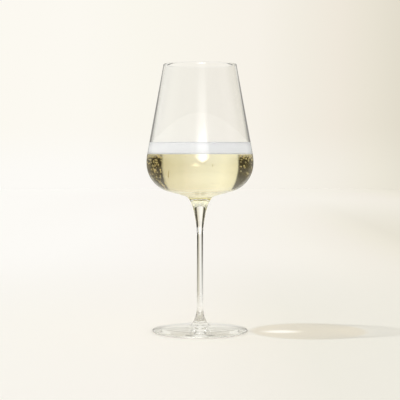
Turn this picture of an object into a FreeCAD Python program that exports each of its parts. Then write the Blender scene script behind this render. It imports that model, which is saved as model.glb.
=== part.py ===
import FreeCAD, Part
import math
import os

import Sketcher

# Stemmed white-wine glass holding a sparkling wine: three pieces of glass fused end to end (bowl,
# stem and foot), the wine in the belly of the bowl, and the collar of froth that lies on the wine.
# Millimetres, +Z up, origin on the table at the middle of the foot's underside.
# Every piece is a solid of revolution about Z. Its sketch is the half section on the XZ plane,
# with the radius across and the height up, drawn where the constraints then hold it.

# Driving dimensions: alias, value, meaning. Lengths are in mm and angles in degrees.
DIMENSIONS = [
    ("overall_height", 223.0, "table to the top of the rim"),
    ("rim_radius", 30.37, "outside of the rim"),
    ("wall", 1.1, "thickness of the bowl's wall"),
    ("belly_radius", 44.6, "outside of the bowl at its widest"),
    ("belly_height", 141.0, "height of the widest circle"),
    ("upper_belly_radius", 43.7, "section radius between the conical wall and the widest circle"),
    ("shoulder_radius", 24.7, "section radius between the widest circle and the base"),
    ("base_slope", 16.0, "slope of the bowl's base"),
    ("floor_height", 116.0, "inside floor of the bowl, on the axis"),
    ("neck_fillet", 6.0, "section radius where the base turns down into the stem"),
    ("neck_radius", 28.0, "section radius of the trumpet at the top of the stem"),
    ("neck_lean", 15.0, "lean of the section where the trumpet passes into the sweep"),
    ("sweep_radius", 95.4, "section radius of the long sweep into the shaft"),
    ("sweep_end", 78.4, "height where the sweep becomes the straight shaft"),
    ("shaft_radius", 2.55, "radius of the straight shaft"),
    ("bowl_seam", 107.2, "height where the stem is fused to the bowl"),
    ("flare_start", 21.1, "height where the shaft begins to flare"),
    ("flare_radius", 30.0, "section radius of the flare"),
    ("flare_lean", 25.6, "lean of the section where the flare passes into the root"),
    ("root_radius", 6.6, "section radius of the root, just above the foot"),
    ("foot_seam", 4.9, "height where the stem is fused to the foot"),
    ("foot_radius", 39.75, "outside of the foot"),
    ("foot_edge", 1.5, "thickness of the foot at its rounded edge"),
    ("foot_top_radius", 230.0, "section radius of the foot's dished top"),
    ("resting_ring", 31.0, "inside of the flat ring that the foot rests on"),
    ("hollow_rise", 0.9, "rise of the hollow under the foot"),
    ("wine_level", 148.2, "height of the wine's surface"),
    ("froth_level", 158.0, "height of the top of the froth"),
    ("liquid_gap", 0.1, "running gap between the bowl and what turns in it"),
]

doc = FreeCAD.newDocument("wine_glass")
sheet = doc.addObject("Spreadsheet::Sheet", "sizes")
for row, (alias, value, meaning) in enumerate(DIMENSIONS, start=1):
    sheet.set(f"A{row}", meaning)
    sheet.set(f"B{row}", str(value))
    sheet.setAlias(f"B{row}", alias)
doc.recompute()
dim = {alias: value for alias, value, _ in DIMENSIONS}


# ---- plane geometry: points are (radius, height) pairs ----

def polar(centre, radius, degrees):
    """The point of a circle at an angle, anticlockwise from straight outwards."""
    angle = math.radians(degrees)
    return centre[0] + radius * math.cos(angle), centre[1] + radius * math.sin(angle)


def towards(start, target, distance):
    """The point at a distance from start, on the line through target."""
    share = distance / math.dist(start, target)
    return tuple(a + share * (b - a) for a, b in zip(start, target))


def circle_centre(near, near_distance, far, far_distance, side):
    """The point at given distances from two others; side is 1 or -1, left or right of near to far."""
    apart = math.dist(near, far)
    along = (near_distance**2 - far_distance**2 + apart**2) / (2 * apart)
    aside = side * math.sqrt(near_distance**2 - along**2)
    step = [(b - a) / apart for a, b in zip(near, far)]
    return (near[0] + along * step[0] - aside * step[1], near[1] + along * step[1] + aside * step[0])


# ---- the shared section: circles that more than one piece follows ----

LIP = (dim["rim_radius"] - dim["wall"] / 2, dim["overall_height"] - dim["wall"] / 2)
UPPER_BELLY = (dim["belly_radius"] - dim["upper_belly_radius"], dim["belly_height"])
SHOULDER = (dim["belly_radius"] - dim["shoulder_radius"], dim["belly_height"])
SWEEP = (dim["shaft_radius"] + dim["sweep_radius"], dim["sweep_end"])
NECK = polar(SWEEP, dim["sweep_radius"] - dim["neck_radius"], 180 - dim["neck_lean"])
FLARE = (dim["shaft_radius"] + dim["flare_radius"], dim["flare_start"])
ROOT = polar(FLARE, dim["flare_radius"] - dim["root_radius"], 180 + dim["flare_lean"])

# the same circles as expressions of the sheet
LIP_ACROSS = "sizes.rim_radius - sizes.wall / 2"
LIP_UP = "sizes.overall_height - sizes.wall / 2"
UPPER_BELLY_ACROSS = "sizes.belly_radius - sizes.upper_belly_radius"
NECK_ACROSS = (
    "sizes.shaft_radius + sizes.sweep_radius"
    " - (sizes.sweep_radius - sizes.neck_radius) * cos(sizes.neck_lean * 1deg)"
)
NECK_UP = "sizes.sweep_end + (sizes.sweep_radius - sizes.neck_radius) * sin(sizes.neck_lean * 1deg)"
ROOT_ACROSS = (
    "sizes.shaft_radius + sizes.flare_radius"
    " - (sizes.flare_radius - sizes.root_radius) * cos(sizes.flare_lean * 1deg)"
)
ROOT_UP = "sizes.flare_start - (sizes.flare_radius - sizes.root_radius) * sin(sizes.flare_lean * 1deg)"
SEAM_EDGE_ACROSS = f"{ROOT_ACROSS} - sqrt(sizes.root_radius ^ 2 - (sizes.foot_seam - ({ROOT_UP})) ^ 2)"


def wall_lean():
    """The angle of the conical wall's outward normal: it touches the lip and the upper belly."""
    apart = math.dist(LIP, UPPER_BELLY)
    down = math.degrees(math.atan2(UPPER_BELLY[1] - LIP[1], UPPER_BELLY[0] - LIP[0]))
    opening = math.degrees(math.acos((dim["wall"] / 2 - dim["upper_belly_radius"]) / apart))
    return down + opening


def floor_circle(gap):
    """Centre and radius of the floor's arc, gap above the glass: it touches the shoulder's inside."""
    low = dim["floor_height"] + gap
    inside = dim["shoulder_radius"] - dim["wall"] - gap
    drop = low - SHOULDER[1]
    radius = (inside**2 - SHOULDER[0] ** 2 - drop**2) / (2 * (drop + inside))
    return (0.0, low + radius), radius


# ---- drawing ----

class Section:
    """The closed half section of one body, drawn segment by segment, clockwise or not."""

    def __init__(self, label):
        self.body = doc.addObject("PartDesign::Body", label)
        self.body.Label = label
        self.sketch = self.body.newObject("Sketcher::SketchObject", label + "_section")
        planes = self.body.Origin.OriginFeatures
        xz_plane = next(plane for plane in planes if plane.Role == "XZ_Plane")
        self.sketch.AttachmentSupport = (xz_plane, "")
        self.sketch.MapMode = "FlatFace"
        # each segment is its geometry number, its first point's number and its last point's number
        self.segments = []

    def line(self, start, end):
        shape = Part.LineSegment(FreeCAD.Vector(*start, 0), FreeCAD.Vector(*end, 0))
        self.segments.append((self.sketch.addGeometry(shape, False), 1, 2))
        return self.segments[-1]

    def arc(self, centre, start, end, turn):
        """An arc about centre; turn is 1 for anticlockwise and -1 for clockwise."""
        circle = Part.Circle(FreeCAD.Vector(*centre, 0), FreeCAD.Vector(0, 0, 1), math.dist(centre, start))
        first, last = (start, end)[::turn]
        angles = [math.atan2(point[1] - centre[1], point[0] - centre[0]) for point in (first, last)]
        if angles[1] < angles[0]:
            angles[1] += 2 * math.pi
        number = self.sketch.addGeometry(Part.ArcOfCircle(circle, *angles), False)
        self.segments.append((number, 1, 2) if turn == 1 else (number, 2, 1))
        return self.segments[-1]

    def guide_circle(self, centre, radius):
        """A construction circle, which guides the section without being part of it."""
        circle = Part.Circle(FreeCAD.Vector(*centre, 0), FreeCAD.Vector(0, 0, 1), radius)
        return (self.sketch.addGeometry(circle, True),)

    def constrain(self, kind, *where):
        return self.sketch.addConstraint(Sketcher.Constraint(kind, *where))

    def bind(self, name, expression, kind, *where):
        """A dimension held to an expression of the sheet; where ends with its value as drawn."""
        self.sketch.renameConstraint(self.constrain(kind, *where), name)
        self.sketch.setExpression(f"Constraints.{name}", expression)

    def bind_radius(self, name, segment, expression):
        self.bind(name, expression, "Radius", segment[0], self.sketch.Geometry[segment[0]].Radius)

    def bind_point(self, name, segment, point, across=None, up=None):
        """Holds a point's distance from the axis, its height, or both, to expressions."""
        place = self.sketch.getPoint(segment[0], point)
        if across:
            self.bind(name + "_across", across, "DistanceX", -1, 1, segment[0], point, place.x)
        if up:
            self.bind(name + "_up", up, "DistanceY", -1, 1, segment[0], point, place.y)

    def on_axis(self, segment, point):
        self.constrain("PointOnObject", segment[0], point, -2)

    def join(self, *corners):
        """Joins each segment to the next one: a corner after the listed ones, and smoothly elsewhere."""
        for here, there in zip(self.segments, self.segments[1:] + self.segments[:1]):
            kind = "Coincident" if here in corners else "Tangent"
            self.constrain(kind, here[0], here[2], there[0], there[1])

    def revolve(self):
        turn = self.body.newObject("PartDesign::Revolution", self.body.Label + "_turn")
        turn.Profile = self.sketch
        turn.ReferenceAxis = (self.sketch, ["V_Axis"])
        turn.Angle = 360
        return self.body


CENTRE = 3  # the number of an arc's centre point in a sketch


# ---- the pieces ----

def neck_fillet():
    """The fillet under the base, which touches the base's slope and, from inside, the neck's circle.

    Gives its centre and its first and last points, with the end of the shoulder's arc before them."""
    slope, radius = dim["base_slope"], dim["neck_fillet"]
    base_start = polar(SHOULDER, dim["shoulder_radius"], slope - 90)
    above = polar(base_start, radius, slope - 90)
    run = (math.cos(math.radians(slope)), math.sin(math.radians(slope)))
    offset = (above[0] - NECK[0], above[1] - NECK[1])
    along = offset[0] * run[0] + offset[1] * run[1]
    aside = math.hypot(*offset) ** 2 - along**2
    step = along + math.sqrt((dim["neck_radius"] - radius) ** 2 - aside)
    centre = (above[0] - step * run[0], above[1] - step * run[1])
    return base_start, centre, polar(centre, radius, slope + 90), towards(NECK, centre, dim["neck_radius"])


def on_circle(centre, radius, up):
    """The point at a height on the side of a circle that faces the axis."""
    return centre[0] - math.sqrt(radius**2 - (up - centre[1]) ** 2), up


def make_bowl():
    """From the lip down the outside to the seam, across to the axis, and up the inside."""
    section = Section("bowl")
    wall, upper_belly_radius = dim["wall"], dim["upper_belly_radius"]
    normal = wall_lean()
    wall_top, wall_foot = polar(LIP, wall / 2, normal), polar(UPPER_BELLY, upper_belly_radius, normal)
    inner_top = polar(LIP, wall / 2, normal + 180)
    inner_foot = polar(UPPER_BELLY, upper_belly_radius - wall, normal)
    belly = (dim["belly_radius"], dim["belly_height"])
    inner_belly = (dim["belly_radius"] - wall, dim["belly_height"])
    base_start, fillet_centre, base_end, fillet_end = neck_fillet()
    seam = on_circle(NECK, dim["neck_radius"], dim["bowl_seam"])
    seam_middle, floor_middle = (0, dim["bowl_seam"]), (0, dim["floor_height"])
    floor_centre, floor_radius = floor_circle(0.0)
    floor_end = towards(floor_centre, SHOULDER, floor_radius)

    lip = section.arc(LIP, inner_top, wall_top, -1)
    section.line(wall_top, wall_foot)
    upper_belly = section.arc(UPPER_BELLY, wall_foot, belly, -1)
    shoulder = section.arc(SHOULDER, belly, base_start, -1)
    base = section.line(base_start, base_end)
    fillet = section.arc(fillet_centre, base_end, fillet_end, 1)
    neck = section.arc(NECK, fillet_end, seam, 1)
    seam_line = section.line(seam, seam_middle)
    axis = section.line(seam_middle, floor_middle)
    floor = section.arc(floor_centre, floor_middle, floor_end, 1)
    inner_shoulder = section.arc(SHOULDER, floor_end, inner_belly, 1)
    inner_upper_belly = section.arc(UPPER_BELLY, inner_belly, inner_foot, 1)
    section.line(inner_foot, inner_top)
    section.join(neck, seam_line, axis)

    section.bind_radius("lip", lip, "sizes.wall / 2")
    section.bind_point("lip_centre", lip, CENTRE, LIP_ACROSS, LIP_UP)
    section.bind_radius("upper_belly", upper_belly, "sizes.upper_belly_radius")
    section.bind_point("upper_belly_centre", upper_belly, CENTRE, UPPER_BELLY_ACROSS, "sizes.belly_height")
    section.bind_radius("shoulder", shoulder, "sizes.shoulder_radius")
    section.bind_point("shoulder_centre", shoulder, CENTRE, up="sizes.belly_height")
    base_direction = math.radians(dim["base_slope"] + 180)
    section.bind("base_slope", "(sizes.base_slope + 180) * 1deg", "Angle", base[0], base_direction)
    section.bind_radius("fillet", fillet, "sizes.neck_fillet")
    section.bind_radius("neck", neck, "sizes.neck_radius")
    section.bind_point("neck_centre", neck, CENTRE, NECK_ACROSS, NECK_UP)
    section.bind_point("seam", seam_line, 1, up="sizes.bowl_seam")
    section.constrain("Horizontal", seam_line[0])
    section.on_axis(axis, 1)
    section.on_axis(axis, 2)
    section.bind_point("floor", floor, 1, up="sizes.floor_height")
    section.on_axis(floor, CENTRE)
    section.bind_radius("inner_shoulder", inner_shoulder, "sizes.shoulder_radius - sizes.wall")
    section.constrain("Coincident", inner_shoulder[0], CENTRE, shoulder[0], CENTRE)
    section.constrain("Coincident", inner_upper_belly[0], CENTRE, upper_belly[0], CENTRE)
    return section.revolve()


def make_stem():
    """From the seam under the bowl down the trumpet, sweep, shaft, flare and root to the foot."""
    section = Section("stem")
    shaft_radius = dim["shaft_radius"]
    top = on_circle(NECK, dim["neck_radius"], dim["bowl_seam"])
    neck_end = polar(SWEEP, dim["sweep_radius"], 180 - dim["neck_lean"])
    shaft_top, shaft_foot = (shaft_radius, dim["sweep_end"]), (shaft_radius, dim["flare_start"])
    flare_end = polar(FLARE, dim["flare_radius"], 180 + dim["flare_lean"])
    root_end = on_circle(ROOT, dim["root_radius"], dim["foot_seam"])
    top_middle, foot_middle = (0, dim["bowl_seam"]), (0, dim["foot_seam"])

    neck = section.arc(NECK, top, neck_end, 1)
    sweep = section.arc(SWEEP, neck_end, shaft_top, 1)
    shaft = section.line(shaft_top, shaft_foot)
    flare = section.arc(FLARE, shaft_foot, flare_end, 1)
    root = section.arc(ROOT, flare_end, root_end, 1)
    underside = section.line(root_end, foot_middle)
    axis = section.line(foot_middle, top_middle)
    seam_line = section.line(top_middle, top)
    section.join(root, underside, axis, seam_line)

    section.bind_radius("neck", neck, "sizes.neck_radius")
    section.bind_point("neck_centre", neck, CENTRE, up=NECK_UP)
    section.bind_radius("sweep", sweep, "sizes.sweep_radius")
    section.bind_point("shaft_top", shaft, 1, "sizes.shaft_radius", "sizes.sweep_end")
    section.constrain("Vertical", shaft[0])
    section.bind_radius("flare", flare, "sizes.flare_radius")
    section.bind_point("shaft_foot", shaft, 2, up="sizes.flare_start")
    section.bind_radius("root", root, "sizes.root_radius")
    section.bind_point("root_centre", root, CENTRE, up=ROOT_UP)
    section.bind_point("underside", underside, 1, up="sizes.foot_seam")
    section.constrain("Horizontal", underside[0])
    section.on_axis(axis, 1)
    section.on_axis(axis, 2)
    section.bind_point("seam", seam_line, 1, up="sizes.bowl_seam")
    section.constrain("Horizontal", seam_line[0])
    return section.revolve()


def make_foot():
    """From the seam under the stem out over the dished top, round the edge, and back underneath."""
    section = Section("foot")
    seam_edge = on_circle(ROOT, dim["root_radius"], dim["foot_seam"])
    edge_radius = dim["foot_edge"] / 2
    edge = (dim["foot_radius"] - edge_radius, edge_radius)
    top_radius = dim["foot_top_radius"]
    top = circle_centre(seam_edge, top_radius, edge, top_radius + edge_radius, 1)
    top_end = towards(edge, top, edge_radius)
    edge_end, ring_inside = (edge[0], 0), (dim["resting_ring"], 0)
    rise = dim["hollow_rise"]
    hollow_radius = (dim["resting_ring"] ** 2 + rise**2) / (2 * rise)
    hollow_middle, seam_middle = (0, rise), (0, dim["foot_seam"])

    seam_line = section.line(seam_middle, seam_edge)
    top_arc = section.arc(top, seam_edge, top_end, 1)
    edge_arc = section.arc(edge, top_end, edge_end, -1)
    ring = section.line(edge_end, ring_inside)
    hollow = section.arc((0, rise - hollow_radius), ring_inside, hollow_middle, 1)
    axis = section.line(hollow_middle, seam_middle)
    section.join(seam_line, ring, hollow, axis)

    section.bind_point("seam_edge", seam_line, 2, SEAM_EDGE_ACROSS, "sizes.foot_seam")
    section.constrain("Horizontal", seam_line[0])
    section.bind_radius("top", top_arc, "sizes.foot_top_radius")
    section.bind_radius("edge", edge_arc, "sizes.foot_edge / 2")
    edge_across = "sizes.foot_radius - sizes.foot_edge / 2"
    section.bind_point("edge_centre", edge_arc, CENTRE, edge_across, "sizes.foot_edge / 2")
    section.constrain("Horizontal", ring[0])
    section.bind_point("ring_inside", ring, 2, "sizes.resting_ring")
    section.on_axis(hollow, CENTRE)
    section.bind_point("hollow_middle", axis, 1, up="sizes.hollow_rise")
    section.on_axis(axis, 1)
    section.on_axis(axis, 2)
    return section.revolve()


def make_wine():
    """From the middle of the surface out to the bowl, and down inside the bowl to its floor."""
    section = Section("wine")
    gap = dim["liquid_gap"]
    level = dim["wine_level"]
    upper_belly_radius = dim["upper_belly_radius"] - dim["wall"] - gap
    across = UPPER_BELLY[0] + math.sqrt(upper_belly_radius**2 - (level - UPPER_BELLY[1]) ** 2)
    surface_middle, surface_edge = (0, level), (across, level)
    belly = (dim["belly_radius"] - dim["wall"] - gap, dim["belly_height"])
    floor_middle = (0, dim["floor_height"] + gap)
    floor_centre, floor_radius = floor_circle(gap)
    floor_end = towards(floor_centre, SHOULDER, floor_radius)

    surface = section.line(surface_middle, surface_edge)
    upper_belly = section.arc(UPPER_BELLY, surface_edge, belly, -1)
    shoulder = section.arc(SHOULDER, belly, floor_end, -1)
    floor = section.arc(floor_centre, floor_end, floor_middle, -1)
    axis = section.line(floor_middle, surface_middle)
    section.join(surface, floor, axis)

    section.bind_point("surface", surface, 1, up="sizes.wine_level")
    section.constrain("Horizontal", surface[0])
    inside = " - sizes.wall - sizes.liquid_gap"
    section.bind_radius("upper_belly", upper_belly, "sizes.upper_belly_radius" + inside)
    section.bind_point("upper_belly_centre", upper_belly, CENTRE, UPPER_BELLY_ACROSS, "sizes.belly_height")
    section.bind_radius("shoulder", shoulder, "sizes.shoulder_radius" + inside)
    section.bind_point("shoulder_centre", shoulder, CENTRE, up="sizes.belly_height")
    section.on_axis(floor, CENTRE)
    section.bind_point("floor", axis, 1, up="sizes.floor_height + sizes.liquid_gap")
    section.on_axis(axis, 1)
    section.on_axis(axis, 2)
    return section.revolve()


def make_froth():
    """A slice of the bowl's inside, from the wine's surface up."""
    section = Section("froth")
    gap = dim["liquid_gap"]
    normal = wall_lean()
    touch = polar(UPPER_BELLY, dim["upper_belly_radius"] - dim["wall"] - gap, normal)
    low, high = dim["wine_level"], dim["froth_level"]
    narrowing = math.tan(math.radians(normal))
    low_edge = (touch[0] - (low - touch[1]) * narrowing, low)
    high_edge = (touch[0] - (high - touch[1]) * narrowing, high)

    underside = section.line((0, low), low_edge)
    side = section.line(low_edge, high_edge)
    top = section.line(high_edge, (0, high))
    axis = section.line((0, high), (0, low))
    section.join(underside, side, top, axis)

    # the side lies on the line that touches the lip's circle and the belly's, both moved in by the gap
    lip = section.guide_circle(LIP, dim["wall"] / 2 + gap)
    belly = section.guide_circle(UPPER_BELLY, dim["upper_belly_radius"] - dim["wall"] - gap)
    section.bind_radius("lip", lip, "sizes.wall / 2 + sizes.liquid_gap")
    section.bind_point("lip_centre", lip, CENTRE, LIP_ACROSS, LIP_UP)
    section.bind_radius("belly", belly, "sizes.upper_belly_radius - sizes.wall - sizes.liquid_gap")
    section.bind_point("belly_centre", belly, CENTRE, UPPER_BELLY_ACROSS, "sizes.belly_height")
    section.constrain("Tangent", side[0], lip[0])
    section.constrain("Tangent", side[0], belly[0])
    section.bind_point("underside", underside, 1, up="sizes.wine_level")
    section.constrain("Horizontal", underside[0])
    section.bind_point("top", top, 2, up="sizes.froth_level")
    section.constrain("Horizontal", top[0])
    section.on_axis(axis, 1)
    section.on_axis(axis, 2)
    return section.revolve()


def check(pieces):
    """Stops unless every object recomputed, every sketch is fully held, and every piece is sound."""
    for thing in doc.Objects:
        if {"Invalid", "Error"} & set(thing.State):
            raise RuntimeError(f"{thing.Name} failed: {thing.State}")
        if thing.TypeId == "Sketcher::SketchObject" and not thing.FullyConstrained:
            raise RuntimeError(f"{thing.Name} isn't fully constrained")
    for piece in pieces:
        if piece.Shape.isNull() or not piece.Shape.isValid() or len(piece.Shape.Solids) != 1:
            raise RuntimeError(f"{piece.Label} isn't one valid solid")


pieces = [make_bowl(), make_stem(), make_foot(), make_wine(), make_froth()]
doc.recompute()
check(pieces)
os.makedirs("parts", exist_ok=True)
for piece in pieces:
    piece.Shape.exportStep(f"parts/{piece.Label}.step")
    print(f"{piece.Label}: {piece.Shape.Volume / 1000:.2f} cm3")
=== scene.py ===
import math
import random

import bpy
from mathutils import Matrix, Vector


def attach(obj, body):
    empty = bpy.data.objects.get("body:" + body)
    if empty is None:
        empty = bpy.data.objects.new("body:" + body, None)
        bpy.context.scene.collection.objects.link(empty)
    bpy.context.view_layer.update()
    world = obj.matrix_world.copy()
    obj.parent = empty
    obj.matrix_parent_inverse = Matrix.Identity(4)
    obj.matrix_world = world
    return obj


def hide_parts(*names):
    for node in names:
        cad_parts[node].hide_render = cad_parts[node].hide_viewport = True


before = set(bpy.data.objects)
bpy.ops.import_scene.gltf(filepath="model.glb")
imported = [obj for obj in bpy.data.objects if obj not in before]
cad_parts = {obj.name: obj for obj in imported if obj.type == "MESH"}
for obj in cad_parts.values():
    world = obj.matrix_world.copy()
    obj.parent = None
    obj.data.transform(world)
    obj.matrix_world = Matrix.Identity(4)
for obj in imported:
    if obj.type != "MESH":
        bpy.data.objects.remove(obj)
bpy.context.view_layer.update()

# A stemmed wine glass, filled to the belly with pale sparkling wine under a collar of froth, on a
# plain pale floor. The CAD frame: metres, +Z up, origin at the centre of the foot, on the floor.
# Sections are drawn in mm, as (radius, height).

MM = 0.001
TURN = 2 * math.pi
SEGMENTS = 192  # round the axis; a multiple of 4, so quarter turns look the same

# ---------------------------------------------------------------- sections, in mm

WINE_TOP = 148.2
FROTH_TOP = 158.0
DRY, WET, LIPPED = 0, 1, 2  # places of the bowl's materials
WETTED = 0.3  # the drink is drawn this far into the wall, so that it fills the glass to the eye

# centres and radii of the arcs, from the rim down
LIP, LIP_R = (29.82, 222.45), 0.55
BELLY, BELLY_IN, BELLY_OUT = (0.9, 141.0), 42.6, 43.7
SHOULDER, SHOULDER_IN, SHOULDER_OUT = (19.9, 141.0), 23.6, 24.7
BOWL_FLOOR, BOWL_FLOOR_R = (0.0, 281.73), 165.73
FILLET, FILLET_R = (14.131, 107.409), 6.0
NECK, NECK_R = (32.847, 95.844), 28.0
SWEEP, SWEEP_R = (97.95, 78.4), 95.4
FLARE, FLARE_R = (32.55, 21.1), 30.0
ROOT, ROOT_R = (11.45, 10.99), 6.6
FOOT_EDGE, FOOT_EDGE_R = (39.0, 0.75), 0.75
FOOT_DISH_R = 230.0

# where one line or arc runs into the next
WALL_OUT = ((43.882, 148.890), (30.361, 222.549))
WALL_IN = ((42.80, 148.69), (29.279, 222.351))
WALL_SLOPE = 13.891 / 75.659
LEAN = 10.4  # how far the wall over the belly leans inwards, in degrees
FLOOR_END = (23.204, 117.633)
BASE = ((12.477, 113.176), (26.708, 117.257))
NECK_END = 148.29  # degrees on the neck's arc and the fillet's
FILLET_END = 106.0
BOWL_SEAM = (7.253, 107.2)
SWEEP_END = (5.80, 103.09)
SHAFT = 2.55
FLARE_END = 205.6  # degrees on the flare's arc and the root's
FOOT_SEAM = (8.90, 4.9)
FOOT_EDGE_END = 82.0
RING_INSIDE, HOLLOW = 31.0, 0.9


def arc(centre, radius, start, end, steps):
    """Points on a circle, from one angle to another in degrees, both ends included."""
    out = []
    for i in range(steps + 1):
        a = math.radians(start + (end - start) * i / steps)
        out.append((centre[0] + radius * math.cos(a), centre[1] + radius * math.sin(a)))
    return out


def line(a, b, steps):
    """The points that part a line into steps, without its ends."""
    return [
        (a[0] + (b[0] - a[0]) * i / steps, a[1] + (b[1] - a[1]) * i / steps)
        for i in range(1, steps)
    ]


def angle_of(centre, point):
    return math.degrees(math.atan2(point[1] - centre[1], point[0] - centre[0]))


def wall_inside(grow=0.0):
    """The bowl's inner wall from the axis up to the end of the belly, grown outwards."""
    floor_end = angle_of(BOWL_FLOOR, FLOOR_END)
    under = arc(BOWL_FLOOR, BOWL_FLOOR_R + grow, -90, floor_end, 24)
    under[0] = (0.0, under[0][1])
    shoulder = arc(SHOULDER, SHOULDER_IN + grow, floor_end, 0, 40)[1:]
    belly = arc(BELLY, BELLY_IN + grow, 0, LEAN, 10)[1:]
    return under + shoulder + belly


def wall_radius(z, grow=0.0):
    """Radius of the bowl's inner wall at a height over the floor's edge, grown outwards."""
    if z < BELLY[1]:
        r = SHOULDER_IN + grow
        return SHOULDER[0] + math.sqrt(max(0.0, r ** 2 - (z - SHOULDER[1]) ** 2))
    foot_radius, foot = WALL_IN[0]
    if z <= foot:
        r = BELLY_IN + grow
        return BELLY[0] + math.sqrt(r * r - (z - BELLY[1]) ** 2)
    return foot_radius + grow / math.cos(math.radians(LEAN)) - (z - foot) * WALL_SLOPE


def bowl_section():
    """The dry part of the bowl with its material marks, and the wetted part of its inside."""
    outside = [BOWL_SEAM]
    outside += arc(NECK, NECK_R, angle_of(NECK, BOWL_SEAM), NECK_END, 8)[1:]
    outside += arc(FILLET, FILLET_R, NECK_END, FILLET_END, 12)[1:]
    outside += line(*BASE, 10)
    outside += arc(SHOULDER, SHOULDER_OUT, angle_of(SHOULDER, BASE[1]), 0, 40)
    outside += arc(BELLY, BELLY_OUT, 0, LEAN, 10)[1:]
    outside += line(*WALL_OUT, 40)
    lip = arc(LIP, LIP_R, LEAN, 180 + LEAN, 12)
    froth_edge = (wall_radius(FROTH_TOP), FROTH_TOP)
    down = line(WALL_IN[1], froth_edge, 36)
    wetted = [froth_edge] + line(froth_edge, WALL_IN[0], 5) + wall_inside()[::-1]
    marks = [DRY] * len(outside) + [LIPPED] * (len(lip) - 1) + [DRY] * (len(down) + 1)
    return outside + lip + down, marks, wetted


def stem_section():
    rows = [FOOT_SEAM]
    rows += arc(ROOT, ROOT_R, angle_of(ROOT, FOOT_SEAM) + 360, FLARE_END, 10)[1:]
    rows += arc(FLARE, FLARE_R, FLARE_END, 180, 14)[1:]
    rows += line((SHAFT, FLARE[1]), (SHAFT, SWEEP[1]), 24)
    rows += arc(SWEEP, SWEEP_R, 180, angle_of(SWEEP, SWEEP_END), 24)
    rows += arc(NECK, NECK_R, angle_of(NECK, SWEEP_END), angle_of(NECK, BOWL_SEAM), 6)[1:]
    return rows


def foot_section():
    dome = (RING_INSIDE ** 2 + HOLLOW ** 2) / (2 * HOLLOW)
    steps = 16
    under = []
    for i in range(steps + 1):
        r = RING_INSIDE * i / steps
        under.append((r, HOLLOW - dome + math.sqrt(dome ** 2 - r ** 2)))
    under[-1] = (RING_INSIDE, 0.0)
    ring = line((RING_INSIDE, 0.0), (FOOT_EDGE[0], 0.0), 4)
    edge = arc(FOOT_EDGE, FOOT_EDGE_R, -90, FOOT_EDGE_END, 14)
    a, b = edge[-1], FOOT_SEAM
    span = math.dist(a, b)
    reach = math.sqrt(FOOT_DISH_R ** 2 - (span / 2) ** 2)
    nx, nz = (b[1] - a[1]) / span, -(b[0] - a[0]) / span
    dish = ((a[0] + b[0]) / 2 - nx * reach, (a[1] + b[1]) / 2 - nz * reach)
    top = arc(dish, FOOT_DISH_R, angle_of(dish, a), angle_of(dish, b), 28)[1:]
    return under + ring + edge + top


# ---------------------------------------------------------------- meshes


def mesh_object(name, verts, faces):
    mesh = bpy.data.meshes.new(name)
    mesh.from_pydata(verts, [], faces)
    mesh.polygons.foreach_set("use_smooth", [True] * len(faces))
    mesh.update()
    obj = bpy.data.objects.new(name, mesh)
    bpy.context.scene.collection.objects.link(obj)
    return obj


def lathe(name, rows, marks=None):
    """A mesh of revolution. Rows run up the outside and down the inside, so that faces look
    outwards. marks gives each band of faces its material index."""
    verts, faces, mats, rings = [], [], [], []
    for r, z in rows:
        count = 1 if r < 1e-6 else SEGMENTS
        rings.append([len(verts) + i for i in range(count)])
        if count == 1:
            verts.append((0.0, 0.0, z * MM))
            continue
        for i in range(SEGMENTS):
            a = TURN * i / SEGMENTS
            verts.append((r * math.cos(a) * MM, r * math.sin(a) * MM, z * MM))
    for k in range(len(rings) - 1):
        lo, hi = rings[k], rings[k + 1]
        for i in range(SEGMENTS):
            j = (i + 1) % SEGMENTS
            if len(lo) == 1:
                faces.append((lo[0], hi[j], hi[i]))
            elif len(hi) == 1:
                faces.append((lo[i], lo[j], hi[0]))
            else:
                faces.append((lo[i], lo[j], hi[j], hi[i]))
            mats.append(marks[k] if marks else 0)
    obj = mesh_object(name, verts, faces)
    obj.data.polygons.foreach_set("material_index", mats)
    return obj


def sphere_template(rings, sides):
    """Unit sphere as (vertices, faces)."""
    verts = [(0.0, 0.0, 1.0)]
    for i in range(1, rings):
        t = math.pi * i / rings
        for j in range(sides):
            a = TURN * j / sides
            verts.append((math.sin(t) * math.cos(a), math.sin(t) * math.sin(a), math.cos(t)))
    verts.append((0.0, 0.0, -1.0))
    faces = [(0, 1 + j, 1 + (j + 1) % sides) for j in range(sides)]
    for i in range(rings - 2):
        a, b = 1 + i * sides, 1 + (i + 1) * sides
        for j in range(sides):
            k = (j + 1) % sides
            faces.append((a + j, b + j, b + k, a + k))
    last, row = len(verts) - 1, 1 + (rings - 2) * sides
    faces += [(row + j, last, row + (j + 1) % sides) for j in range(sides)]
    return verts, faces


def ball_mesh(name, balls, template):
    """Many spheres in one mesh; balls is [(x, y, z, radius)] in mm."""
    unit, shape = template
    verts, faces = [], []
    for x, y, z, r in balls:
        base = len(verts)
        verts.extend(((x + u * r) * MM, (y + v * r) * MM, (z + w * r) * MM) for u, v, w in unit)
        faces.extend(tuple(base + i for i in f) for f in shape)
    return mesh_object(name, verts, faces)


# ---------------------------------------------------------------- nodes


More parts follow.
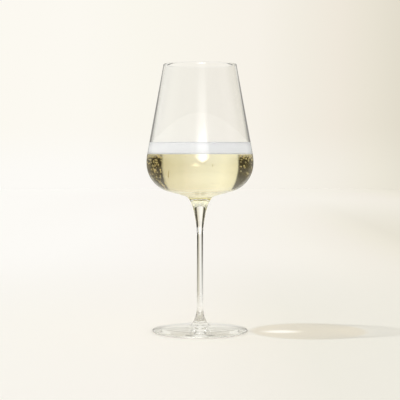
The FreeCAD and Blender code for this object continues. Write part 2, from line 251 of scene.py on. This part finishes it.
class Nodes:
    """Short names for the few node kinds that the materials and the world use."""

    def __init__(self, tree):
        self.tree = tree

    def new(self, kind, inputs=None, **settings):
        """A node with its settings, and its inputs set or linked to another node's output."""
        node = self.tree.nodes.new(kind)
        for key, value in settings.items():
            setattr(node, key, value)
        for key, value in (inputs or {}).items():
            if isinstance(value, bpy.types.NodeSocket):
                self.tree.links.new(value, node.inputs[key])
            elif isinstance(value, tuple) and node.inputs[key].type == "RGBA":
                node.inputs[key].default_value = (*value, 1)
            else:
                node.inputs[key].default_value = value
        return node

    def math(self, operation, a, b=None):
        inputs = {0: a} if b is None else {0: a, 1: b}
        return self.new("ShaderNodeMath", inputs, operation=operation).outputs["Value"]

    def vector(self, operation, inputs, output):
        return self.new("ShaderNodeVectorMath", inputs, operation=operation).outputs[output]

    def step(self, value, low, high):
        """0 up to low, 1 from high."""
        return self.new("ShaderNodeMapRange", {"Value": value, "From Min": low, "From Max": high},
                        interpolation_type="SMOOTHSTEP").outputs["Result"]

    def fade(self, value, low, high):
        """1 up to low, 0 from high."""
        return self.math("SUBTRACT", 1.0, self.step(value, low, high))

    def band(self, value, a, b, c, d):
        """0 up to a, 1 from b to c, 0 from d."""
        return self.math("MULTIPLY", self.step(value, a, b), self.fade(value, c, d))

    def across(self, value, reach):
        """0 at -reach, 1 at reach."""
        return self.new("ShaderNodeMapRange", {"Value": value, "From Min": -reach,
                                               "From Max": reach}).outputs["Result"]

    def ramp(self, value, stops):
        """A colour ramp through (position, (r, g, b)) stops."""
        node = self.new("ShaderNodeValToRGB", {"Fac": value})
        elements = node.color_ramp.elements
        elements.remove(elements[-1])
        for i, (at, colour) in enumerate(stops):
            element = elements[0] if i == 0 else elements.new(at)
            element.position = at
            element.color = (*colour, 1)
        return node.outputs["Color"]

    def colour_mix(self, factor, a, b, blend="MIX"):
        return self.new("ShaderNodeMix", {"Factor": factor, "A": a, "B": b}, data_type="RGBA",
                        blend_type=blend).outputs["Result"]

    def bump(self, height, strength, distance):
        return self.new("ShaderNodeBump", {"Strength": strength, "Distance": distance * MM,
                                           "Height": height}).outputs["Normal"]

    def background(self, colour, strength=1.0):
        return self.new("ShaderNodeBackground", {"Color": colour, "Strength": strength}).outputs[0]

    def shader_mix(self, factor, a, b):
        return self.new("ShaderNodeMixShader", {"Fac": factor, 1: a, 2: b}).outputs["Shader"]

    def shader_add(self, a, b):
        return self.new("ShaderNodeAddShader", {0: a, 1: b}).outputs["Shader"]


def new_material(name):
    mat = bpy.data.materials.new(name)
    mat.use_nodes = True
    mat.node_tree.nodes.clear()
    return mat, Nodes(mat.node_tree)


# ---------------------------------------------------------------- materials

GLASS_TINT = (0.997, 0.997, 0.992)
FOOT_TINT = (0.995, 0.995, 0.965)
GLASS_SHADE = (0.965, 0.96, 0.945)
WINE_TINT = (0.995, 0.945, 0.69)
WINE_SHADE = (0.86, 0.76, 0.56)
WINE_IOR = 1.34
WAVE_DETAIL = 1.5
GRAIN_SCALE, GRAIN_DETAIL, GRAIN_FROM = 45.0, 4.0, (0.5, 0.8)
EDGE_BLEND = 0.2  # how narrow the darker edge of a shadow is
# painted glints on the bubbles: a gold, matt share of their look
PAINTED_GLINT_GOLD, PAINTED_GLINT_SHARE = (1.0, 0.87, 0.47), 0.65
FOAM_TONES = [(0.0, (0.985, 0.985, 0.975)), (0.7, (0.965, 0.97, 0.96))]
FOAM_CELLS = 900.0
FOAM_DEPTH = (0.004, 0.0042, 0.004)  # how far light soaks in, in metres
# painted light: the froth's underside glows with it, for the light that soaks through the foam
FOAM_PAINTED_GLOW, FOAM_PAINTED_GLOW_STRENGTH = (0.74, 0.80, 1.0), 0.7


def clear_material(name, colour, ior, specular=0.5, waviness=0.0, wave_scale=60.0,
                   smear=0.0, shade=(1, 1, 1), outline=1.0):
    """Clear glass or liquid. A slow noise bends its surface by waviness, in mm, and a finer one
    smears it. Shadow rays pass with the tint shade, which is outline times as light where they
    graze the surface, so the floor gets a pale shadow with an edge."""
    mat, n = new_material(name)
    place = n.new("ShaderNodeTexCoord").outputs["Object"]
    inputs = {"Base Color": colour, "Transmission Weight": 1.0, "Roughness": 0.0, "IOR": ior,
              "Specular IOR Level": specular}
    if waviness:
        waves = {"Vector": place, "Scale": wave_scale, "Detail": WAVE_DETAIL}
        noise = n.new("ShaderNodeTexNoise", waves)
        inputs["Normal"] = n.bump(noise.outputs["Fac"], 1.0, waviness)
    if smear:
        grain = {"Vector": place, "Scale": GRAIN_SCALE, "Detail": GRAIN_DETAIL}
        low, high = GRAIN_FROM
        spread = {"Value": n.new("ShaderNodeTexNoise", grain).outputs["Fac"],
                  "From Min": low, "From Max": high, "To Min": 0.0, "To Max": smear}
        inputs["Roughness"] = n.new("ShaderNodeMapRange", spread).outputs["Result"]
    shader = n.new("ShaderNodeBsdfPrincipled", inputs)
    through = shade
    if outline < 1.0:
        grazing = n.new("ShaderNodeLayerWeight", {"Blend": EDGE_BLEND}).outputs["Facing"]
        through = n.colour_mix(grazing, shade, tuple(c * outline for c in shade))
    passing = n.new("ShaderNodeBsdfTransparent", {"Color": through})
    by_light = n.new("ShaderNodeLightPath").outputs["Is Shadow Ray"]
    surface = n.shader_mix(by_light, shader.outputs["BSDF"], passing.outputs["BSDF"])
    n.new("ShaderNodeOutputMaterial", {"Surface": surface})
    return mat


def bubble_material():
    """Gas in the drink: light meets a thinner medium on its way in, so the rim of each ball
    mirrors. A gold, matt share is a painted glint: it stands for the glints that are too small
    for the picture."""
    mat, n = new_material("bubble_air")
    gas = n.new("ShaderNodeBsdfGlass", {"Color": (1, 1, 1), "Roughness": 0.0, "IOR": 1 / WINE_IOR})
    painted_glint = n.new("ShaderNodeBsdfDiffuse", {"Color": PAINTED_GLINT_GOLD})
    surface = n.shader_mix(PAINTED_GLINT_SHARE, gas.outputs["BSDF"], painted_glint.outputs["BSDF"])
    n.new("ShaderNodeOutputMaterial", {"Surface": surface})
    return mat


def froth_material(name, glow=0.0):
    """Fine foam: a soft white body with a cell pattern. With glow, it gives off painted light,
    which stands for the light that soaks through the foam to its underside."""
    mat, n = new_material(name)
    place = n.new("ShaderNodeTexCoord").outputs["Object"]
    foam = n.new("ShaderNodeTexVoronoi", {"Vector": place, "Scale": FOAM_CELLS})
    cells = foam.outputs["Distance"]
    inputs = {
        "Base Color": n.ramp(cells, FOAM_TONES),
        "Roughness": 0.55,
        "Specular IOR Level": 0.2,
        "Subsurface Weight": 0.1,
        "Subsurface Radius": FOAM_DEPTH,
        "Subsurface Scale": 1.0,
        "Normal": n.bump(cells, 0.4, 0.2),
    }
    if glow:
        inputs["Emission Color"] = FOAM_PAINTED_GLOW
        inputs["Emission Strength"] = glow
    shader = n.new("ShaderNodeBsdfPrincipled", inputs)
    n.new("ShaderNodeOutputMaterial", {"Surface": shader.outputs["BSDF"]})
    return mat


RIPPLED = {"waviness": 0.004, "smear": 0.03, "shade": GLASS_SHADE, "outline": 0.5}

# One glass in truth, of about 1.5. The index of each part is set low for a faint lip and a
# light foot, high for broad dark lines along the stem.
LIP_GLASS = clear_material("clear_glass_lip", GLASS_TINT, 1.2, shade=GLASS_SHADE)
GLASS = clear_material("clear_glass", GLASS_TINT, 1.5, **RIPPLED)
STEM_GLASS = clear_material("clear_glass_stem", GLASS_TINT, 1.62, **RIPPLED)
FOOT_GLASS = clear_material("clear_glass_foot", FOOT_TINT, 1.33, **RIPPLED)
WET_GLASS = clear_material("clear_glass_wetted", (1.0, 1.0, 1.0), 1.5, specular=0.0,
                           waviness=0.002)
WINE = clear_material("white_wine", WINE_TINT, WINE_IOR, specular=0.0, waviness=0.003,
                      wave_scale=40.0, shade=WINE_SHADE)
BUBBLE = bubble_material()
FROTH = froth_material("froth_foam")
FROTH_UNDER_PAINTED_GLOW = froth_material("froth_underside_painted_glow", glow=FOAM_PAINTED_GLOW_STRENGTH)


def dress(obj, materials, body, node=None):
    for material in materials:
        obj.data.materials.append(material)
    if node:
        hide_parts(node)
    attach(obj, body)


# ---------------------------------------------------------------- the glass

dry, dry_marks, wetted = bowl_section()
bowl = lathe("bowl_glass", dry + wetted, dry_marks + [WET] * (len(wetted) - 1))
dress(bowl, [GLASS, WET_GLASS, LIP_GLASS], "glass", "bowl")
stem = lathe("stem_glass", stem_section())
dress(stem, [STEM_GLASS], "glass", "stem")
foot = lathe("foot_glass", foot_section())
dress(foot, [FOOT_GLASS], "glass", "foot")

# ---------------------------------------------------------------- the drink

side = [p for p in wall_inside(WETTED) if p[1] < WINE_TOP - 0.2]
side.append((wall_radius(WINE_TOP, WETTED), WINE_TOP))
surface = [(wall_radius(WINE_TOP) * k, WINE_TOP) for k in (0.97, 0.7, 0.4, 0.15, 0.0)]
wine = lathe("wine_fill", side + surface)
dress(wine, [WINE], "contents", "wine")

FROTH_FOOT = WINE_TOP + 0.05
# in from the wall, and down from the froth's edge
MENISCUS = ((0.6, 0.25), (2.0, 0.6), (6.0, 0.9), (16.0, 1.0), (28.0, 1.0))
FROTH_STEPS = 8
collar = [(0.0, FROTH_FOOT), (wall_radius(FROTH_FOOT) * 0.5, FROTH_FOOT)]
for i in range(FROTH_STEPS + 1):
    z = FROTH_FOOT + (FROTH_TOP - FROTH_FOOT) * i / FROTH_STEPS
    collar.append((wall_radius(z, WETTED), z))
collar += [(wall_radius(FROTH_TOP) - d, FROTH_TOP - h) for d, h in MENISCUS]
collar += [(0.0, FROTH_TOP - MENISCUS[-1][1])]
froth_marks = [1, 1] + [0] * (len(collar) - 3)  # the two bands of the underside, which glows with painted light
froth = lathe("froth_collar", collar, froth_marks)
dress(froth, [FROTH, FROTH_UNDER_PAINTED_GLOW], "contents", "froth")
froth.visible_shadow = False

rng = random.Random(7)
OFF_WALL = 0.12
LEFT = math.pi
# angles are round the axis from +X, the rest in mm
SWARMS = ((0.0, 150, 4.5), (LEFT, 190, 6.0))  # middle, number, mean depth under the froth
SWARM_REACH, SWARM_SIZE, SWARM_FLOOR = 0.80, (0.40, 0.85), 124
STRIPE, STRIPE_AT, STRIPE_BLUR = 34, LEFT + 0.56, 0.035  # a line of them down the left
STRIPE_HEIGHT, STRIPE_SIZE = (121, 143), (0.35, 0.7)
LOW, LOW_REACH, LOW_HEIGHT, LOW_SIZE = 40, (0.0, 0.75), (120, 132), (0.3, 0.6)
FINE, FINE_HEIGHT, FINE_SIZE = 150, (122, WINE_TOP - 1), (0.10, 0.19)


def wall_bubbles():
    """Bubbles that cling to the inside of the bowl, thickest under the froth and at two sides."""
    balls = []

    def cling(a, z, r):
        reach = wall_radius(z) - r - OFF_WALL
        balls.append((reach * math.cos(a), reach * math.sin(a), z, r))

    for middle, count, depth in SWARMS:
        for _ in range(count):
            a = middle + rng.uniform(-SWARM_REACH, SWARM_REACH)
            z = WINE_TOP - 1.0 - rng.expovariate(1 / depth)
            r = rng.uniform(*SWARM_SIZE)
            if z > SWARM_FLOOR:
                cling(a, z, r)
    for _ in range(STRIPE):
        z = rng.uniform(*STRIPE_HEIGHT)
        cling(STRIPE_AT + rng.gauss(0, STRIPE_BLUR), z, rng.uniform(*STRIPE_SIZE))
    for _ in range(LOW):
        cling(LEFT + rng.uniform(*LOW_REACH), rng.uniform(*LOW_HEIGHT), rng.uniform(*LOW_SIZE))
    for _ in range(FINE):
        cling(rng.uniform(0, TURN), rng.uniform(*FINE_HEIGHT), rng.uniform(*FINE_SIZE))
    return balls


bubbles = ball_mesh("wine_bubbles", wall_bubbles(), sphere_template(8, 12))
dress(bubbles, [BUBBLE], "contents")
bubbles.visible_shadow = False

# ---------------------------------------------------------------- tones of floor and backdrop


def srgb(r, g, b):
    """Linear colour from 8-bit display values."""
    def one(v):
        v /= 255
        return v / 12.92 if v <= 0.04045 else ((v + 0.055) / 1.055) ** 2.4
    return one(r), one(g), one(b)


def tones(*stops):
    return [(at, srgb(*rgb)) for at, rgb in stops]


# left to right, over the reach given where they are used. They are lighter on the left, where the
# key light comes from, and darker to the right: on the floor, this is painted light falloff
BACKDROP_LOW = tones(
    (0.0, (253, 251, 246)), (0.2, (253, 251, 246)), (0.36, (251, 248, 243)),
    (0.64, (248, 244, 236)), (0.74, (246, 242, 232)), (0.84, (242, 237, 226)),
    (0.92, (238, 233, 219)), (1.0, (231, 226, 211)))
BACKDROP_HIGH = tones(
    (0.0, (252, 249, 241)), (0.2, (252, 249, 241)), (0.36, (250, 247, 237)),
    (0.64, (247, 242, 232)), (0.74, (242, 237, 225)), (0.84, (239, 232, 219)),
    (0.92, (233, 227, 212)), (1.0, (226, 220, 204)))
FLOOR_NEAR = tones(
    (0.0, (250, 247, 240)), (0.25, (249, 246, 238)), (0.42, (248, 244, 236)),
    (0.5, (246, 242, 233)), (0.57, (243, 239, 229)), (0.64, (239, 236, 225)),
    (0.75, (238, 235, 224)), (1.0, (238, 234, 222)))

# ---------------------------------------------------------------- the floor

FLOOR_SIZE = 4.0
FLOOR_SIDES = 96
FLOOR_DROP = 0.0001  # under the resting ring, so that the two faces don't fight
NEAR_REACH = 0.3
FARTHER = ((0.36, 0.0, 0.8), (0.866, 0.9, 3.0))  # reach of the tones, and where they fade in
SEEN_BY_GLASS = (0.10, 0.32)  # where the floor fades for rays that glass has bent or mirrored
# a painted caustic on the floor: place, size, colour and strength of the glowing streak
STREAK = (0.0679, -0.003)
STREAK_HALF = (0.0219, 0.012)
STREAK_FADE = (0.15, 1.0)
PAINTED_STREAK_COLOUR, PAINTED_STREAK_STRENGTH = (0.88, 0.92, 0.94), 0.36


def floor_material():
    mat, n = new_material("pale_floor")
    where = n.new("ShaderNodeNewGeometry").outputs["Position"]
    split = n.new("ShaderNodeSeparateXYZ", {"Vector": where})
    x, y = split.outputs["X"], split.outputs["Y"]
    # the paint is painted light falloff: lighter to the left, darker to the right, as the light
    # falls
    painted_falloff = n.ramp(n.across(x, NEAR_REACH), FLOOR_NEAR)
    for reach, start, end in FARTHER:
        far = n.ramp(n.across(x, reach), BACKDROP_LOW)
        painted_falloff = n.colour_mix(n.step(y, start, end), painted_falloff, far)
    paint = n.new("ShaderNodeBsdfDiffuse", {"Color": painted_falloff})
    # painted light, a caustic: the floor itself glows in a short streak in the middle of the
    # glass's shadow, where the glass would gather the light
    (cx, cy), (wide, deep) = STREAK, STREAK_HALF
    local = n.vector("MULTIPLY_ADD", {0: where, 1: (1 / wide, 1 / deep, 0.0),
                                      2: (-cx / wide, -cy / deep, 0.0)}, "Vector")
    streak = n.fade(n.vector("LENGTH", {0: local}, "Value"), *STREAK_FADE)
    strength = n.math("MULTIPLY", streak, PAINTED_STREAK_STRENGTH)
    painted_caustic = n.new("ShaderNodeEmission", {"Color": PAINTED_STREAK_COLOUR, "Strength": strength})
    lit = n.shader_add(paint.outputs["BSDF"], painted_caustic.outputs["Emission"])
    # away from the foot, glass sees the world in place of the floor
    path = n.new("ShaderNodeLightPath")
    bent = n.math("MAXIMUM", path.outputs["Is Transmission Ray"], path.outputs["Is Reflection Ray"])
    away = n.step(n.vector("LENGTH", {0: where}, "Value"), *SEEN_BY_GLASS)
    clear = n.new("ShaderNodeBsdfTransparent")
    surface = n.shader_mix(n.math("MULTIPLY", bent, away), lit, clear.outputs["BSDF"])
    n.new("ShaderNodeOutputMaterial", {"Surface": surface})
    return mat


floor_mesh = bpy.data.meshes.new("floor")
rim = []
for i in range(FLOOR_SIDES):
    a = TURN * i / FLOOR_SIDES
    rim.append((FLOOR_SIZE * math.cos(a), FLOOR_SIZE * math.sin(a), -FLOOR_DROP))
floor_mesh.from_pydata(rim, [], [tuple(range(FLOOR_SIDES))])
floor = bpy.data.objects.new("floor", floor_mesh)
bpy.context.scene.collection.objects.link(floor)
floor_mesh.materials.append(floor_material())

# ---------------------------------------------------------------- the world, by direction


def bearing(degrees):
    """Share of the turn for a direction in degrees from straight behind, positive towards +X.
    0 and 1 are straight in front, 0.5 is straight behind."""
    return 0.5 + degrees / 360


def round_about(*stops):
    """Ramp stops from (degrees from straight behind, colour); -180 and 180 are in front."""
    return [(bearing(degrees), colour) for degrees, colour in stops]


def grey(v):
    return v, v, v


# Rays that only pass through glass see a pale backdrop between two dark flags.
LIT, FLAG = (0.90, 0.90, 0.88), (0.04, 0.033, 0.02)
GAP_SIDE, GAP, GAP_MIDDLE = (0.86, 0.84, 0.76), (1.0, 1.0, 0.99), grey(0.93)
PASSED = round_about(
    (-180, LIT), (-76, LIT), (-73, FLAG), (-25.5, FLAG), (-23.8, GAP_SIDE), (-12, GAP),
    (-5, GAP_MIDDLE), (5, GAP_MIDDLE), (12, GAP), (23.3, GAP_SIDE), (25, FLAG), (73, FLAG),
    (76, LIT))
PASSED_STRENGTH = 1.112
BACKDROP_REACH = 0.175  # as the X part of a unit direction
HORIZON = (-0.02, 0.03)  # as its Z part
FLAGS_STAND = (-8.2, -3.5, 34, 42)  # bands of height, in degrees over the horizon
SKIRT_STANDS = (-18, -15, -7, -5)
SKIRT_WIDE = (60, 64, 88, 92)  # degrees from straight behind, on both sides
SKIRT = (0.10, 0.09, 0.07)

# Rays that some surface has mirrored see a dim room: low down, higher up, and under the table.
FRONT, SIDE_LEFT, SIDE_RIGHT = (0.11, 0.10, 0.075), (0.07, 0.07, 0.06), (0.05, 0.05, 0.04)
BEHIND, BEHIND_EDGE, SLIT = (0.28, 0.27, 0.25), (0.42, 0.42, 0.40), (0.90, 0.89, 0.86)
MIRRORED_LOW = round_about(
    (-180, FRONT), (-125, FRONT), (-98, SIDE_LEFT), (-60, SIDE_LEFT), (-48, (0.25, 0.25, 0.23)),
    (-32, BEHIND_EDGE), (-24, BEHIND), (-5, BEHIND), (-3.5, SLIT), (3.5, SLIT), (5, BEHIND),
    (24, BEHIND), (32, BEHIND_EDGE), (48, (0.22, 0.22, 0.20)), (60, SIDE_RIGHT),
    (98, SIDE_RIGHT), (125, FRONT), (180, FRONT))
WALL, PALE_WALL = (0.60, 0.60, 0.58), (0.92, 0.90, 0.83)
MIRRORED_HIGH = round_about(
    (-180, grey(0.25)), (-125, grey(0.30)), (-98, WALL), (-45, PALE_WALL), (45, PALE_WALL),
    (98, WALL), (125, grey(0.28)), (180, grey(0.25)))
TABLE, TABLE_BEHIND = (0.32, 0.31, 0.29), (0.34, 0.33, 0.30)
MIRRORED_UNDER = round_about(
    (-180, (0.30, 0.30, 0.29)), (-98, TABLE), (-34, TABLE_BEHIND), (-22, GAP_SIDE),
    (22, GAP_SIDE), (34, TABLE_BEHIND), (98, TABLE), (180, (0.30, 0.30, 0.29)))
UNDER_TO_LOW = (-12, -7)  # degrees over the horizon
LOW_TO_HIGH = (6.5, 9.5)
HIGH_TO_CEILING = (40, 65)
CEILING = (0.9, 0.88, 0.81)

# The soft box that is mirrored: beside the camera, tall, with a dimmer light over it. In degrees.
BOX_WIDE = (-16, 5, 10, 23)  # from straight in front
BOX_FOOT = (-1, 5.5)
BOX_FOOT_SLOPE, BOX_FOOT_AT = 0.5, 5
BOX_TOP, BOX_STRENGTH = (20.0, 22.6), 5.0
OVER_TOP, OVER_STRENGTH = (21.5, 27), 1.7

# Matt surfaces gather soft light.
SOFT_LIGHT = 0.545  # from every side
SOFT_AROUND = 2.2  # and more from low down in front and behind
SOFT_LOW = (0.1, 0.6)  # how low, as the Z part of a unit direction
SOFT_SIDES = 1.6  # less of it from the two sides
SOFT_RIGHT = 0.3  # and a little more from the right, where no sun falls
SOFT_UNDER = 0.6  # and from the lit table


def heights(degrees):
    """Upward parts of unit directions at those angles over the horizon."""
    return [math.sin(math.radians(d)) for d in degrees]


def radians(degrees):
    return [math.radians(d) for d in degrees]


def passed_light(n, tones_behind, turn, z):
    """What is seen through glass: the flags stand from the table up to well over the glass."""
    passed = n.ramp(turn, PASSED)
    off_axis = n.math("ABSOLUTE", n.math("SUBTRACT", turn, 0.5))
    passed = n.colour_mix(n.band(z, *heights(FLAGS_STAND)), LIT, passed)
    skirt = n.math("MULTIPLY", n.band(z, *heights(SKIRT_STANDS)),
                   n.band(off_axis, *(d / 360 for d in SKIRT_WIDE)))
    passed = n.colour_mix(skirt, passed, SKIRT)
    return n.colour_mix(1.0, tones_behind, passed, "MULTIPLY")


def mirrored_room(n, turn, z):
    """What is mirrored: the room and a lit ceiling."""
    room = n.colour_mix(n.step(z, *heights(LOW_TO_HIGH)), n.ramp(turn, MIRRORED_LOW),
                        n.ramp(turn, MIRRORED_HIGH))
    room = n.colour_mix(n.step(z, *heights(UNDER_TO_LOW)), n.ramp(turn, MIRRORED_UNDER), room)
    return n.colour_mix(n.step(z, *heights(HIGH_TO_CEILING)), room, CEILING)


def mirrored_box(n, x, y, z):
    """Strength of the soft box; its foot rises to both sides."""
    front = n.math("ARCTAN2", x, n.math("MULTIPLY", y, -1.0))
    aside = n.math("ABSOLUTE", n.math("SUBTRACT", front, math.radians(BOX_FOOT_AT)))
    risen = n.math("SUBTRACT", z, n.math("MULTIPLY", aside, BOX_FOOT_SLOPE))
    glow = n.math("ADD", n.math("MULTIPLY", n.fade(z, *heights(BOX_TOP)), BOX_STRENGTH),
                  n.math("MULTIPLY", n.fade(z, *heights(OVER_TOP)), OVER_STRENGTH))
    glow = n.math("MULTIPLY", glow, n.step(risen, *heights(BOX_FOOT)))
    return n.math("MULTIPLY", n.band(front, *radians(BOX_WIDE)), glow)


def gathered_light(n, x, z):
    """Strength of the light that falls on matt surfaces."""
    low = n.fade(n.math("ABSOLUTE", z), *SOFT_LOW)
    sides = n.math("SUBTRACT", SOFT_RIGHT, n.math("MULTIPLY", x, SOFT_SIDES))
    around = n.math("MULTIPLY", low, n.math("ADD", SOFT_AROUND, n.math("MULTIPLY", x, sides)))
    below = n.math("MULTIPLY", n.math("LESS_THAN", z, 0.0), SOFT_UNDER)
    return n.math("ADD", n.math("ADD", around, below), SOFT_LIGHT)


def build_world():
    """Each kind of ray sees its own surroundings, as flags and a soft box give it to glass."""
    world = bpy.data.worlds.new("studio")
    bpy.context.scene.world = world
    world.use_nodes = True
    world.cycles.sampling_method = "NONE"
    world.node_tree.nodes.clear()
    n = Nodes(world.node_tree)
    place = n.new("ShaderNodeTexCoord").outputs["Generated"]
    split = n.new("ShaderNodeSeparateXYZ", {"Vector": place})
    x, y, z = (split.outputs[k] for k in "XYZ")
    across = n.across(x, BACKDROP_REACH)
    backdrop = n.colour_mix(n.step(z, *HORIZON), n.ramp(across, BACKDROP_LOW),
                            n.ramp(across, BACKDROP_HIGH))
    turn = n.math("ADD", n.math("DIVIDE", n.math("ARCTAN2", x, y), TURN), 0.5)

    path = n.new("ShaderNodeLightPath").outputs
    white = grey(1.0)
    passed = n.background(passed_light(n, backdrop, turn, z), PASSED_STRENGTH)
    mirrored = n.shader_add(n.background(mirrored_room(n, turn, z)),
                            n.background(white, mirrored_box(n, x, y, z)))
    bounced = n.math("GREATER_THAN", path["Glossy Depth"], 0.5)
    diffused = n.math("GREATER_THAN", path["Diffuse Depth"], 0.5)
    shown = n.shader_mix(bounced, passed, mirrored)
    shown = n.shader_mix(diffused, shown, n.background(white, gathered_light(n, x, z)))
    shown = n.shader_mix(path["Is Camera Ray"], shown, n.background(backdrop))
    n.new("ShaderNodeOutputWorld", {"Surface": shown})


build_world()

# ---------------------------------------------------------------- the key light

SUN_STRENGTH = 0.96
SUN_WIDE, SUN_LIFT = math.radians(1.6), math.radians(57)


def place_object(name, data):
    obj = bpy.data.objects.new(name, data)
    bpy.context.scene.collection.objects.link(obj)
    obj.rotation_mode = "QUATERNION"
    return obj


sun = bpy.data.lights.new("key", "SUN")
sun.energy = SUN_STRENGTH
sun.angle = SUN_WIDE
key = place_object("key", sun)
key.visible_transmission = False
key.visible_glossy = False
shine = Vector((math.cos(SUN_LIFT), 0.0, -math.sin(SUN_LIFT)))
key.rotation_quaternion = shine.to_track_quat("-Z", "Y")

# ---------------------------------------------------------------- camera and settings

CAMERA_AT = (0.0, -0.95, 0.148)
CAMERA_AIM = Vector((0.0, 0.0, 0.110))
SENSOR_MM, LENS_MM = 36.0, 102.4

lens = bpy.data.cameras.new("camera")
lens.sensor_width = SENSOR_MM
lens.lens = LENS_MM
camera = place_object("camera", lens)
camera.location = CAMERA_AT
camera.rotation_quaternion = (CAMERA_AIM - camera.location).to_track_quat("-Z", "Y")
bpy.context.scene.camera = camera

scene = bpy.context.scene
scene.view_settings.view_transform = "Standard"
scene.view_settings.look = "None"
scene.cycles.max_bounces = 32
scene.cycles.transmission_bounces = 32
scene.cycles.glossy_bounces = 32
scene.cycles.diffuse_bounces = 8
scene.cycles.transparent_max_bounces = 24
scene.cycles.use_denoising = True
